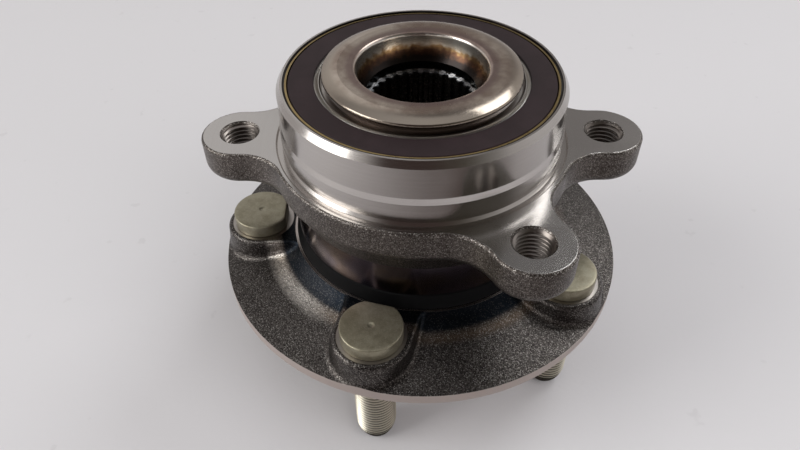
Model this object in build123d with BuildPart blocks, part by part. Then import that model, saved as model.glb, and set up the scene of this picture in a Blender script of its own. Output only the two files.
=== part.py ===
from build123d import *

import os
from math import cos, radians, sin, sqrt

os.makedirs("parts", exist_ok=True)

# Wheel hub bearing for a driven front wheel. All sizes are in millimetres and degrees.
# Z is the hub axis: Z = 0 is the face the wheel seats on, and +Z points inboard, to the knuckle.
# The outer ring bolts to the knuckle by its four lugs and the wheel hub turns inside it.

# ---------------------------------------------------------------- fits and clearances
race_gap = 0.05  # ball to raceway
pocket_gap = 0.15  # ball to cage pocket
lip_gap = 0.1  # seal lip to the surface that it runs on
rim_gap = 0.35  # encoder edge to seal case
sleeve_gap = 0.2  # encoder to the inner ring
seal_to_cage_gap = 0.5

# ---------------------------------------------------------------- wheel side
stud_count = 5
stud_circle_radius = 114.3 / 2
first_stud_angle = -4
stud_thread_radius = 14.0 / 2
flange_margin = 13.85  # stud circle to the flange's rim
flange_rim_height = 4.1
flange_edge_chamfer = 0.5
wheel_pilot_radius = 67.1 / 2
wheel_pilot_length = 6.8
wheel_pilot_chamfer = 2.0
disc_pilot_radius = 68.0 / 2
disc_pilot_length = 6.0
disc_pilot_chamfer = 0.4
face_relief_radius = 39.0
face_relief_depth = 0.6
nut_recess_radius = 24.0
nut_recess_chamfer = 1.0
nut_seat_height = 11.0

# ---------------------------------------------------------------- forged flange and stud bosses
forging_blend_radius = 54.5  # where the flange's slope turns up to the seal shoulder
forging_blend_height = 7.4
seal_shoulder_drop = 0.65  # below the stud pads
seal_shoulder_radius = 45.6
forging_crown_stock = 4.35  # turned off to leave the seal shoulder
stud_pad_height = 13.3
stud_pad_radius = 12.6
boss_draft = 6.0
boss_foot_fillet = 2.2
boss_edge_fillet = 1.5
boss_inner_radius = 30.0
boss_root_depth = 0.5  # how far the boss runs into the flange

# ---------------------------------------------------------------- wheel studs
stud_head_radius = 9.95
stud_head_height = 4.8
stud_head_flat = 8.8  # stud axis to the flat that faces the hub axis
stud_head_chamfer = 0.5
stud_dimple_radius = 0.9
stud_dimple_depth = 0.3
stud_knurl_radius = 7.3
stud_neck_radius = 6.4
stud_knurl_end = 3.0
stud_knurl_chamfer = 0.9
stud_thread_start = 0.3
stud_tip_height = -39.3
thread_chamfer = stud_thread_radius - stud_neck_radius
stud_nose_length = 7.5  # rounded end, from the full thread to the tip
stud_nose_middle = (6.25, 3.4)  # radius, and distance from the tip
stud_tip_radius = 4.5

# ---------------------------------------------------------------- ball rows
ball_radius = 12.7 / 2
ball_count = 14
pitch_radius = 33.5
outboard_row = 30.0
inboard_row = 56.4
groove_conformity = 0.52  # raceway radius as a share of the ball's diameter
outer_land_height = 0.33  # land of the outer ring above the pitch circle, in ball radii
seal_land_depth = 0.3  # seal land below the pitch circle
seal_corner_radius = 2.2
cage_back = 0.95  # closed side of the cage beyond the ball
cage_front = 0.57  # ball centre to the cage's open side, in ball radii
cage_rim = 2.6  # width of the closed side
cage_back_inner = 1.1  # the cage's inner and outer edges, from the pitch circle
cage_back_outer = 5.1
cage_front_inner = -3.1
cage_front_outer = 0.9
cage_foot_step = 0.4

# ---------------------------------------------------------------- inner ring and formed collar
inner_ring_bore = 23.5
inner_ring_foot = 44.0
inner_ring_setback = 0.8  # below the outer ring's end face
inner_ring_outer_round = 1.1
inner_ring_inner_round = 0.7
inner_ring_rim_radius = 31.15
inner_ring_step = 1.4  # groove between the rim and the collar
inner_ring_bore_chamfer = 1.5
collar_seat_radius = 29.3
collar_belly = 0.1  # swell of the collar's underside
collar_edge_radius = 31.05
collar_edge_height = 2.3  # heights of the collar, above the inner ring
collar_edge_round = 0.6
collar_ridge_radius = 26.0
collar_height = 4.4
collar_dish = 0.25
collar_mouth_round = 1.2
collar_mouth_radius = 20.5
collar_throat_depth = 9.0
collar_throat_radius = 17.45
collar_throat_hollow = 0.75

# ---------------------------------------------------------------- drive spline
spline_teeth = 30
spline_root_radius = 17.2
spline_tip_radius = 16.1
spline_root_overlap = 0.4  # how far a tooth runs into the wall
spline_root_width = 2.7
spline_tip_width = 0.9
spline_depth = 12.6  # below the collar's top
spline_foot = 17.0
spline_foot_chamfer = 0.25

# ---------------------------------------------------------------- outer ring
ring_outboard_end = 18.1
ring_inboard_end = 71.9
pilot_radius = 90.0 / 2
pilot_lead_radius = 43.65
pilot_lead_length = 2.0
pilot_step_radius = 45.5
pilot_step_height = 57.85
pilot_step_slope = 1.9
undercut_height = 2.5  # up the pilot, from the lug face
undercut_shoulder = 0.8
undercut_radius = 44.8
undercut_outer_radius = 47.6
undercut_depth = 0.5
outboard_skirt_radius = 43.4
skirt_height = 31.2
skirt_chamfer = 0.6
forged_neck_radius = 44.0
forged_neck_top_radius = 46.9
neck_overlap = 1.2
inboard_seal_wall = 2.4  # seal seats beyond the raceways
outboard_seal_wall = 0.7
seal_bore_chamfer = 0.4

# ---------------------------------------------------------------- knuckle lugs
lug_circle_radius = 60.0
lug_angles = (30, 150, 210, 330)
lug_face = 50.4
lug_thickness = 12.8
lug_tip_radius = 12.6
lug_root_fillet = 15.0
lug_body_radius = 49.2
lug_lower_fillet = 4.4
lug_upper_fillet = 0.9
lug_thread_radius = 12.0 / 2
lug_thread_mouth_radius = 13.1 / 2

# ---------------------------------------------------------------- seals
case_thickness = 0.6
case_flange_gap = 2.6  # between the case's flange and the seal land
slinger_thickness = 0.6
slinger_setback = 0.35  # below the inner ring's end face
encoder_thickness = 0.75
encoder_edge_chamfer = 0.2
rubber_thickness = 0.7
rubber_overlap = 0.1
lip_root_thickness = 0.3
lip_edge = 0.3
side_lip_thickness = 0.5
side_lip_pitch = 2.0
side_lip_reach = 2.0475  # outward, from foot to tip
lip_foot_step = 0.2
radial_lip_drop = 0.5
face_lip_reach = 3.2
umbrella_lip_radius = 44.7
umbrella_root_step = 0.4  # inward from the turned skirt
umbrella_thickness = 0.9

# ---------------------------------------------------------------- worked out from the above
groove_radius = groove_conformity * 2 * ball_radius
outer_race_radius = pitch_radius + ball_radius + race_gap
inner_race_radius = pitch_radius - ball_radius - race_gap
outer_land_radius = pitch_radius + outer_land_height * ball_radius
seal_land_radius = pitch_radius - seal_land_depth
outer_groove_centre = outer_race_radius - groove_radius
inner_groove_centre = inner_race_radius + groove_radius
outer_groove_reach = sqrt(groove_radius**2 - (outer_land_radius - outer_groove_centre) ** 2)
inner_groove_reach = sqrt(groove_radius**2 - (inner_groove_centre - seal_land_radius) ** 2)
cage_back_reach = ball_radius + cage_back
inboard_seal_bore = outer_race_radius + inboard_seal_wall
outboard_seal_bore = outer_race_radius + outboard_seal_wall
inboard_case_floor = inboard_row + cage_back_reach + seal_to_cage_gap
outboard_case_top = outboard_row - cage_back_reach - seal_to_cage_gap
outboard_case_floor = outboard_case_top - case_thickness
case_flange_radius = seal_land_radius + case_flange_gap
case_lip_radius = case_flange_radius - rubber_thickness
inner_ring_top = ring_inboard_end - inner_ring_setback
slinger_top = inner_ring_top - slinger_setback
slinger_floor = inboard_case_floor + case_thickness + lip_gap
encoder_outer_radius = inboard_seal_bore - case_thickness - rim_gap
slinger_outer_radius = encoder_outer_radius - side_lip_thickness
collar_seat_height = inner_ring_top - inner_ring_step
collar_top = inner_ring_top + collar_height
spline_top = collar_top - spline_depth
flange_radius = stud_circle_radius + flange_margin
seal_shoulder_height = stud_pad_height - seal_shoulder_drop
forging_rise = (forging_blend_height - flange_rim_height) / (flange_radius - forging_blend_radius)
forging_crown_height = seal_shoulder_height + forging_crown_stock
stud_angles = [first_stud_angle + 360 / stud_count * place for place in range(stud_count)]
lug_floor = lug_face - lug_thickness
hub_outboard_end = -disc_pilot_length - wheel_pilot_length
tool_margin = 1.0  # by which a cut starts outside the piece


def on_circle(radius, angle):
    # a point of the XY plane, given by its distance from the axis and its angle
    return (radius * cos(radians(angle)), radius * sin(radians(angle)))


def turned_section(*corners):
    # half section of a turned piece, with each corner given as radius and height
    with BuildSketch(Plane.YZ) as half_section:
        with BuildLine():
            Polyline(*corners, close=True)
        make_face()
    return half_section.sketch


def save(piece, node):
    piece.part.label = node
    export_step(piece.part, f"parts/{node}.step")


# ================================================================ outer ring
with BuildPart() as outer_ring:
    # forged plate with the four knuckle lugs
    with BuildSketch(Plane.XY.offset(lug_floor)):
        Circle(lug_body_radius)
        for angle in lug_angles:
            with Locations(Location(on_circle(lug_circle_radius / 2, angle), angle)):
                SlotCenterToCenter(lug_circle_radius, 2 * lug_tip_radius)
        root_corners = [
            corner
            for corner in vertices()
            if abs(Vector(*tuple(corner)).length - lug_body_radius) < 0.01
        ]
        fillet(root_corners, lug_root_fillet)
    extrude(amount=lug_thickness)
    fillet(faces().sort_by(Axis.Z)[0].outer_wire().edges(), lug_lower_fillet)
    fillet(faces().sort_by(Axis.Z)[-1].outer_wire().edges(), lug_upper_fillet)

    # forged neck between the plate and the outboard skirt
    revolve(
        turned_section(
            (pitch_radius, skirt_height),
            (forged_neck_radius, skirt_height),
            (forged_neck_top_radius, lug_floor + neck_overlap),
            (pitch_radius, lug_floor + neck_overlap),
        ),
        axis=Axis.Z,
    )

    # turned pilot above the plate and turned skirt below it
    revolve(
        turned_section(
            (pitch_radius, ring_outboard_end),
            (outboard_skirt_radius - skirt_chamfer, ring_outboard_end),
            (outboard_skirt_radius, ring_outboard_end + skirt_chamfer),
            (outboard_skirt_radius, lug_floor),
            (pilot_step_radius, lug_floor + lug_lower_fillet),
            (pilot_step_radius, pilot_step_height),
            (pilot_radius, pilot_step_height + pilot_step_slope),
            (pilot_radius, ring_inboard_end - pilot_lead_length),
            (pilot_lead_radius, ring_inboard_end),
            (pitch_radius, ring_inboard_end),
        ),
        axis=Axis.Z,
    )

    # undercut in the corner between the pilot and the lug face
    undercut_top = lug_face + undercut_height
    revolve(
        turned_section(
            (pilot_step_radius, undercut_top),
            (undercut_radius, undercut_top - undercut_shoulder),
            (undercut_radius, lug_face + undercut_depth),
            (pilot_step_radius, lug_face - undercut_depth),
            (undercut_outer_radius - undercut_depth, lug_face - undercut_depth),
            (undercut_outer_radius, lug_face),
            (undercut_outer_radius, undercut_top),
        ),
        axis=Axis.Z,
        mode=Mode.SUBTRACT,
    )

    # bore, with a raceway for each ball row and a seat for each seal
    with BuildSketch(Plane.YZ):
        with BuildLine():
            inboard_seat = Polyline(
                (0, ring_inboard_end),
                (inboard_seal_bore + seal_bore_chamfer, ring_inboard_end),
                (inboard_seal_bore, ring_inboard_end - seal_bore_chamfer),
                (inboard_seal_bore, inboard_case_floor),
                (outer_race_radius, inboard_case_floor),
                (outer_race_radius, inboard_row),
            )
            inboard_race = RadiusArc(
                inboard_seat @ 1, (outer_land_radius, inboard_row - outer_groove_reach), groove_radius
            )
            land = Line(inboard_race @ 1, (outer_land_radius, outboard_row + outer_groove_reach))
            outboard_race = RadiusArc(land @ 1, (outer_race_radius, outboard_row), groove_radius)
            outboard_seat = Polyline(
                outboard_race @ 1,
                (outer_race_radius, outboard_case_top),
                (outboard_seal_bore, outboard_case_top),
                (outboard_seal_bore, ring_outboard_end),
                (0, ring_outboard_end),
                (0, ring_inboard_end),
            )
        make_face()
    revolve(axis=Axis.Z, mode=Mode.SUBTRACT)

    # tapped holes for the knuckle bolts, at the thread's major size
    with BuildSketch(Plane.XY.offset(lug_floor)):
        with Locations([on_circle(lug_circle_radius, angle) for angle in lug_angles]):
            Circle(lug_thread_radius)
    extrude(amount=lug_thickness, mode=Mode.SUBTRACT)
    round_edges = edges().filter_by(GeomType.CIRCLE)
    hole_mouths = round_edges.filter_by(lambda edge: abs(edge.radius - lug_thread_radius) < 0.01)
    chamfer(hole_mouths, lug_thread_mouth_radius - lug_thread_radius)

save(outer_ring, "outer_ring")

# ================================================================ wheel hub
with BuildPart() as wheel_hub:
    # forged flange, still oversize at the rim and at the crown
    with BuildSketch(Plane.YZ):
        with BuildLine():
            overhang = stud_pad_radius / 2
            outer_height = flange_rim_height - overhang * forging_rise
            slope = Line(
                (flange_radius + overhang, outer_height),
                (forging_blend_radius, forging_blend_height),
            )
            blend = TangentArc(
                slope @ 1,
                (seal_shoulder_radius - tool_margin, seal_shoulder_height + 1.5 * tool_margin),
                tangent=slope % 1,
            )
            Polyline(
                blend @ 1,
                (seal_shoulder_radius - 2 * tool_margin, forging_crown_height),
                (0, forging_crown_height),
                (0, 0),
                (flange_radius + overhang, 0),
                slope @ 0,
            )
        make_face()
    revolve(axis=Axis.Z)

    # drafted boss under each stud head, blended into the flange
    with BuildSketch(Plane.XY.offset(stud_pad_height)):
        with PolarLocations(0, stud_count, start_angle=first_stud_angle):
            with Locations(((stud_circle_radius + boss_inner_radius) / 2, 0)):
                SlotCenterToCenter(stud_circle_radius - boss_inner_radius, 2 * stud_pad_radius)
    boss_root_height = flange_rim_height - boss_root_depth
    extrude(amount=boss_root_height - stud_pad_height, taper=-boss_draft)
    foot_edges = edges(Select.NEW).filter_by(
        lambda edge: edge.geom_type not in (GeomType.CIRCLE, GeomType.LINE)
        and edge.bounding_box().max.Z > boss_root_height + 0.01
    )
    fillet(foot_edges, boss_foot_fillet)

    # crown turned down to the seal shoulder, and the boss edges rounded
    revolve(
        turned_section(
            (0, seal_shoulder_height),
            (seal_shoulder_radius, seal_shoulder_height),
            (seal_shoulder_radius, forging_crown_height + tool_margin),
            (0, forging_crown_height + tool_margin),
        ),
        axis=Axis.Z,
        mode=Mode.SUBTRACT,
    )
    level_faces = faces().filter_by(Plane.XY)
    pad_faces = level_faces.filter_by(lambda face: abs(face.center().Z - stud_pad_height) < 0.01)
    pad_edges = [
        edge
        for pad in pad_faces
        for edge in pad.outer_wire().edges()
        if edge.geom_type == GeomType.LINE
        or (edge.geom_type == GeomType.CIRCLE and abs(edge.radius - stud_pad_radius) < 0.01)
    ]
    fillet(pad_edges, boss_edge_fillet)

    # rim turned to size
    revolve(
        turned_section(
            (flange_radius - flange_edge_chamfer, -tool_margin),
            (flange_radius - flange_edge_chamfer, 0),
            (flange_radius, flange_edge_chamfer),
            (flange_radius, stud_pad_height + tool_margin),
            (flange_radius + 2 * stud_pad_radius, stud_pad_height + tool_margin),
            (flange_radius + 2 * stud_pad_radius, -tool_margin),
        ),
        axis=Axis.Z,
        mode=Mode.SUBTRACT,
    )

    # seal land, outboard raceway, inner ring seat and the collar formed over the inner ring
    with BuildSketch(Plane.YZ):
        with BuildLine():
            corner_radius = seal_land_radius + seal_corner_radius
            foot = Polyline(
                (0, nut_seat_height),
                (corner_radius, nut_seat_height),
                (corner_radius, seal_shoulder_height),
            )
            corner = RadiusArc(
                foot @ 1, (seal_land_radius, seal_shoulder_height + seal_corner_radius), seal_corner_radius
            )
            seal_land = Line(corner @ 1, (seal_land_radius, outboard_row - inner_groove_reach))
            race = RadiusArc(seal_land @ 1, (inner_race_radius, outboard_row), groove_radius)
            seat = Polyline(
                race @ 1,
                (inner_race_radius, inner_ring_foot),
                (inner_ring_bore, inner_ring_foot),
                (inner_ring_bore, collar_seat_height - inner_ring_bore_chamfer),
                (inner_ring_bore + inner_ring_bore_chamfer, collar_seat_height),
                (collar_seat_radius, collar_seat_height),
            )
            edge_height = inner_ring_top + collar_edge_height
            underside = ThreePointArc(
                seat @ 1,
                (
                    (collar_seat_radius + collar_edge_radius) / 2 + collar_belly,
                    (collar_seat_height + edge_height) / 2 - collar_belly,
                ),
                (collar_edge_radius, edge_height),
            )
            edge_round = TangentArc(
                underside @ 1,
                (collar_edge_radius - collar_edge_round, edge_height + 1.5 * collar_edge_round),
                tangent=(0, 1),
            )
            TangentArc((collar_ridge_radius, collar_top), edge_round @ 1, tangent=(1, 0))
            crown = Line(
                (collar_ridge_radius, collar_top),
                (collar_mouth_radius + collar_mouth_round, collar_top - collar_dish),
            )
            mouth = TangentArc(
                crown @ 1,
                (collar_mouth_radius, collar_top - collar_dish - collar_mouth_round),
                tangent=crown % 1,
            )
            throat = ThreePointArc(
                mouth @ 1,
                (
                    (collar_mouth_radius + collar_throat_radius) / 2 + collar_throat_hollow,
                    collar_top - (collar_throat_depth + collar_dish + collar_mouth_round) / 2,
                ),
                (collar_throat_radius, collar_top - collar_throat_depth),
            )
            Polyline(
                throat @ 1,
                (collar_throat_radius, spline_top),
                (0, spline_top),
                (0, nut_seat_height),
            )
        make_face()
    revolve(axis=Axis.Z)

    # pilots for the brake disc and the wheel, with the nut recess inside them
    revolve(
        turned_section(
            (0, nut_seat_height),
            (0, hub_outboard_end),
            (wheel_pilot_radius - wheel_pilot_chamfer, hub_outboard_end),
            (wheel_pilot_radius, hub_outboard_end + wheel_pilot_chamfer),
            (wheel_pilot_radius, -disc_pilot_length),
            (disc_pilot_radius, -disc_pilot_length + disc_pilot_chamfer),
            (disc_pilot_radius, nut_seat_height),
        ),
        axis=Axis.Z,
    )
    revolve(
        turned_section(
            (disc_pilot_radius, -tool_margin),
            (disc_pilot_radius, face_relief_depth),
            (face_relief_radius, face_relief_depth),
            (face_relief_radius + face_relief_depth, 0),
            (face_relief_radius + face_relief_depth, -tool_margin),
        ),
        axis=Axis.Z,
        mode=Mode.SUBTRACT,
    )
    revolve(
        turned_section(
            (0, hub_outboard_end),
            (nut_recess_radius + nut_recess_chamfer, hub_outboard_end),
            (nut_recess_radius, hub_outboard_end + nut_recess_chamfer),
            (nut_recess_radius, nut_seat_height),
            (collar_throat_radius + nut_recess_chamfer, nut_seat_height),
            (collar_throat_radius, nut_seat_height + nut_recess_chamfer),
            (collar_throat_radius, spline_foot),
            (spline_root_radius, spline_foot + spline_foot_chamfer),
            (spline_root_radius, spline_top),
            (0, spline_top),
        ),
        axis=Axis.Z,
        mode=Mode.SUBTRACT,
    )

    # spline teeth that drive the hub
    with BuildSketch(Plane.XY.offset(spline_foot)):
        with BuildLine():
            root_reach = spline_root_radius + spline_root_overlap
            Polyline(
                (root_reach, -spline_root_width / 2),
                (spline_tip_radius, -spline_tip_width / 2),
                (spline_tip_radius, spline_tip_width / 2),
                (root_reach, spline_root_width / 2),
                close=True,
            )
        tooth = make_face(mode=Mode.PRIVATE)
        with PolarLocations(0, spline_teeth):
            add(tooth)
    extrude(amount=spline_top - spline_foot)

    # press fit holes for the studs
    with BuildSketch(Plane.XY):
        with PolarLocations(stud_circle_radius, stud_count, start_angle=first_stud_angle):
            Circle(stud_knurl_radius)
    extrude(amount=stud_pad_height, mode=Mode.SUBTRACT)

save(wheel_hub, "wheel_hub")

# ================================================================ inner ring
with BuildPart() as inner_ring:
    with BuildSketch(Plane.YZ):
        with BuildLine():
            small_end = Polyline(
                (inner_ring_bore, collar_seat_height - inner_ring_bore_chamfer),
                (inner_ring_bore, inner_ring_foot),
                (inner_race_radius, inner_ring_foot),
                (inner_race_radius, inboard_row),
            )
            race = RadiusArc(
                small_end @ 1, (seal_land_radius, inboard_row + inner_groove_reach), groove_radius
            )
            land = Line(race @ 1, (seal_land_radius, inner_ring_top - inner_ring_outer_round))
            outer_round = RadiusArc(
                land @ 1,
                (seal_land_radius - inner_ring_outer_round, inner_ring_top),
                inner_ring_outer_round,
            )
            rim = Line(outer_round @ 1, (inner_ring_rim_radius + inner_ring_inner_round, inner_ring_top))
            inner_round = RadiusArc(
                rim @ 1,
                (inner_ring_rim_radius, inner_ring_top - inner_ring_inner_round),
                inner_ring_inner_round,
            )
            Polyline(
                inner_round @ 1,
                (inner_ring_rim_radius, collar_seat_height),
                (inner_ring_bore + inner_ring_bore_chamfer, collar_seat_height),
                (inner_ring_bore, collar_seat_height - inner_ring_bore_chamfer),
            )
        make_face()
    revolve(axis=Axis.Z)

save(inner_ring, "inner_ring")


# ================================================================ wheel studs
with BuildPart() as wheel_studs:
    for angle in stud_angles:
        stud_x, stud_y = on_circle(stud_circle_radius, angle)
        stud_frame = Plane(
            origin=(stud_x, stud_y, 0), x_dir=(*on_circle(1, angle), 0), z_dir=(0, 0, 1)
        )
        # round head with one flat towards the hub axis
        with BuildSketch(stud_frame.offset(stud_pad_height)):
            Circle(stud_head_radius)
            with Locations((-stud_head_flat, 0)):
                Rectangle(
                    stud_head_radius,
                    2 * stud_head_radius,
                    align=(Align.MAX, Align.CENTER),
                    mode=Mode.SUBTRACT,
                )
        head = extrude(amount=stud_head_height)
        chamfer(head.faces().sort_by(Axis.Z)[-1].edges(), stud_head_chamfer)
        # knurled seat, neck, thread at its major size and rounded nose
        stud_side = Plane(origin=stud_frame.origin, x_dir=stud_frame.x_dir, z_dir=-stud_frame.y_dir)
        with BuildSketch(stud_side):
            with BuildLine():
                shank = Polyline(
                    (0, stud_pad_height),
                    (stud_knurl_radius, stud_pad_height),
                    (stud_knurl_radius, stud_knurl_end),
                    (stud_neck_radius, stud_knurl_end - stud_knurl_chamfer),
                    (stud_neck_radius, stud_thread_start),
                    (stud_thread_radius, stud_thread_start - thread_chamfer),
                    (stud_thread_radius, stud_tip_height + stud_nose_length),
                )
                nose = ThreePointArc(
                    shank @ 1,
                    (stud_nose_middle[0], stud_tip_height + stud_nose_middle[1]),
                    (stud_tip_radius, stud_tip_height),
                )
                Polyline(nose @ 1, (0, stud_tip_height), (0, stud_pad_height))
            make_face()
        revolve(axis=Axis((stud_x, stud_y, 0), (0, 0, 1)))
        # centre mark in the head
        with BuildSketch(stud_frame.offset(stud_pad_height + stud_head_height)):
            Circle(stud_dimple_radius)
        extrude(amount=-stud_dimple_depth, mode=Mode.SUBTRACT)

save(wheel_studs, "wheel_studs")


# ================================================================ balls and cages
def ball_centre(place, row_height):
    x, y = on_circle(pitch_radius, 360 / ball_count * place)
    return (x, y, row_height)


def make_cage(row_height, side):
    # crown cage of one ball row; side is +1 where its closed side faces inboard, -1 where outboard
    back_height = row_height + side * cage_back_reach
    rim_height = back_height - side * cage_rim
    front_height = row_height - side * cage_front * ball_radius
    with BuildPart() as cage:
        revolve(
            turned_section(
                (pitch_radius + cage_back_inner, back_height),
                (pitch_radius + cage_back_outer, back_height),
                (pitch_radius + cage_back_outer, rim_height),
                (pitch_radius + cage_front_outer, front_height),
                (pitch_radius + cage_front_inner, front_height),
                (pitch_radius + cage_back_inner - cage_foot_step, rim_height),
            ),
            axis=Axis.Z,
        )
        with Locations([ball_centre(place, row_height) for place in range(ball_count)]):
            Sphere(ball_radius + pocket_gap, mode=Mode.SUBTRACT)
    return cage


save(make_cage(inboard_row, 1), "inboard_cage")
save(make_cage(outboard_row, -1), "outboard_cage")

for row_name, row_height in (("inboard", inboard_row), ("outboard", outboard_row)):
    for place in range(ball_count):
        with BuildPart() as ball:
            with Locations(ball_centre(place, row_height)):
                Sphere(ball_radius)
        save(ball, f"{row_name}_ball_{place + 1:02d}")

# ================================================================ inboard seal with the speed sensor ring
with BuildPart() as inboard_seal_case:
    revolve(
        turned_section(
            (case_flange_radius, inboard_case_floor),
            (inboard_seal_bore, inboard_case_floor),
            (inboard_seal_bore, ring_inboard_end - seal_bore_chamfer),
            (inboard_seal_bore - case_thickness, ring_inboard_end - seal_bore_chamfer),
            (inboard_seal_bore - case_thickness, inboard_case_floor + case_thickness),
            (case_flange_radius, inboard_case_floor + case_thickness),
        ),
        axis=Axis.Z,
    )

save(inboard_seal_case, "inboard_seal_case")

with BuildPart() as slinger:
    revolve(
        turned_section(
            (seal_land_radius, slinger_floor),
            (seal_land_radius + slinger_thickness, slinger_floor),
            (seal_land_radius + slinger_thickness, slinger_top - slinger_thickness),
            (slinger_outer_radius, slinger_top - slinger_thickness),
            (slinger_outer_radius, slinger_top),
            (seal_land_radius, slinger_top),
        ),
        axis=Axis.Z,
    )

save(slinger, "slinger")

with BuildPart() as encoder_ring:
    encoder_inner_radius = seal_land_radius + sleeve_gap
    encoder_top = slinger_top + encoder_thickness
    revolve(
        turned_section(
            (encoder_inner_radius, slinger_top),
            (slinger_outer_radius, slinger_top),
            (slinger_outer_radius, slinger_top - slinger_thickness),
            (encoder_outer_radius, slinger_top - slinger_thickness),
            (encoder_outer_radius, encoder_top - encoder_edge_chamfer),
            (encoder_outer_radius - encoder_edge_chamfer, encoder_top),
            (encoder_inner_radius + encoder_edge_chamfer, encoder_top),
            (encoder_inner_radius, encoder_top - encoder_edge_chamfer),
        ),
        axis=Axis.Z,
    )

save(encoder_ring, "encoder_ring")

with BuildPart() as inboard_seal_lips:
    lip_base_top = inboard_case_floor + case_thickness + rubber_thickness
    lip_tip_height = slinger_top - slinger_thickness - lip_gap
    radial_tip_radius = seal_land_radius + slinger_thickness + lip_gap
    # layer bonded to the case, wrapped round the inner edge of its flange
    revolve(
        turned_section(
            (case_lip_radius, inboard_case_floor),
            (case_flange_radius, inboard_case_floor),
            (case_flange_radius, inboard_case_floor + case_thickness),
            (encoder_outer_radius, inboard_case_floor + case_thickness),
            (encoder_outer_radius, lip_base_top),
            (case_lip_radius, lip_base_top),
        ),
        axis=Axis.Z,
    )
    # radial lip on the slinger's sleeve
    revolve(
        turned_section(
            (case_lip_radius, inboard_case_floor + rubber_overlap),
            (case_lip_radius + lip_root_thickness, lip_base_top - rubber_overlap),
            (radial_tip_radius + lip_edge, lip_base_top + radial_lip_drop),
            (radial_tip_radius, lip_base_top + radial_lip_drop - lip_edge),
        ),
        axis=Axis.Z,
    )
    # two side lips on the slinger's flange
    for lip_number in range(2):
        lip_inner_radius = case_flange_radius + lip_foot_step + side_lip_pitch * lip_number
        lip_outer_radius = lip_inner_radius + side_lip_thickness
        lip_tip_radius = lip_outer_radius + side_lip_reach
        revolve(
            turned_section(
                (lip_inner_radius, lip_base_top - rubber_overlap),
                (lip_outer_radius, lip_base_top - rubber_overlap),
                (lip_tip_radius, lip_tip_height),
                (lip_tip_radius - lip_edge, lip_tip_height),
            ),
            axis=Axis.Z,
        )

save(inboard_seal_lips, "inboard_seal_lips")

# ================================================================ outboard seal
with BuildPart() as outboard_seal_case:
    revolve(
        turned_section(
            (case_flange_radius, outboard_case_floor),
            (outboard_seal_bore - case_thickness, outboard_case_floor),
            (outboard_seal_bore - case_thickness, ring_outboard_end),
            (outboard_seal_bore, ring_outboard_end),
            (outboard_seal_bore, outboard_case_top),
            (case_flange_radius, outboard_case_top),
        ),
        axis=Axis.Z,
    )

save(outboard_seal_case, "outboard_seal_case")

with BuildPart() as outboard_seal_lips:
    layer_floor = outboard_case_floor - rubber_thickness
    layer_radius = outboard_seal_bore - case_thickness - rubber_thickness
    bead_floor = ring_outboard_end - rubber_thickness
    tip_height = seal_shoulder_height + lip_gap
    # layer bonded inside the case, with the umbrella lip hanging from the ring's end face
    revolve(
        turned_section(
            (case_lip_radius, outboard_case_top),
            (case_flange_radius, outboard_case_top),
            (case_flange_radius, outboard_case_floor),
            (outboard_seal_bore - case_thickness, outboard_case_floor),
            (outboard_seal_bore - case_thickness, ring_outboard_end),
            (outboard_skirt_radius - skirt_chamfer, ring_outboard_end),
            (outboard_skirt_radius, ring_outboard_end - lip_edge),
            (umbrella_lip_radius, tip_height + lip_edge),
            (umbrella_lip_radius - lip_edge, tip_height),
            (umbrella_lip_radius - lip_edge - side_lip_thickness, tip_height),
            (outboard_skirt_radius - umbrella_root_step - lip_edge, bead_floor - umbrella_thickness),
            (outboard_skirt_radius - umbrella_root_step - umbrella_thickness, bead_floor),
            (layer_radius, bead_floor),
            (layer_radius, layer_floor),
            (case_lip_radius, layer_floor),
        ),
        axis=Axis.Z,
    )
    # radial lip on the hub's seal land
    radial_tip_radius = seal_land_radius + lip_gap
    revolve(
        turned_section(
            (case_lip_radius, outboard_case_top - rubber_overlap),
            (case_lip_radius + lip_root_thickness, layer_floor + rubber_overlap),
            (radial_tip_radius + lip_edge, layer_floor - radial_lip_drop - lip_edge),
            (radial_tip_radius, layer_floor - radial_lip_drop),
        ),
        axis=Axis.Z,
    )
    # face lip on the seal shoulder
    face_lip_inner_radius = case_flange_radius + lip_foot_step
    face_lip_tip_radius = case_flange_radius + face_lip_reach
    revolve(
        turned_section(
            (face_lip_inner_radius, layer_floor + rubber_overlap),
            (face_lip_inner_radius + rubber_thickness, layer_floor + rubber_overlap),
            (face_lip_tip_radius + side_lip_thickness, tip_height),
            (face_lip_tip_radius, tip_height),
        ),
        axis=Axis.Z,
    )

save(outboard_seal_lips, "outboard_seal_lips")
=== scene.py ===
import bpy
import bmesh
from math import atan2, cos, pi, radians, sin, sqrt
from mathutils import Matrix, Vector


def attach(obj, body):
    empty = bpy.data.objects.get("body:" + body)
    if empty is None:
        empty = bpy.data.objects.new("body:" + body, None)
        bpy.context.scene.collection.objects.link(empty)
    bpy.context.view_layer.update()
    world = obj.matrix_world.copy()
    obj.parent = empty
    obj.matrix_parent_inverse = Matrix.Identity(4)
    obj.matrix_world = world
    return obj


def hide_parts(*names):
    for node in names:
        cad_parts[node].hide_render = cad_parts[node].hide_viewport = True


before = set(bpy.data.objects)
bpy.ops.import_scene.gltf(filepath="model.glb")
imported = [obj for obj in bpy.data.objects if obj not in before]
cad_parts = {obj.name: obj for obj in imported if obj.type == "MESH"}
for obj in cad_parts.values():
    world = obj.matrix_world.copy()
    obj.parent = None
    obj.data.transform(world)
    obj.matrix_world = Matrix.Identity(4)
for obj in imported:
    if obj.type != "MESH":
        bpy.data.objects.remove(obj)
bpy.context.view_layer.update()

mm = 0.001  # the sizes below are in millimetres

# where the wheel studs stand, for their shape and for the steel round them
studPlaces = {
    "count": 5,
    "firstAngle": -4.0,
    "circle": 57.15,
}


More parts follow.
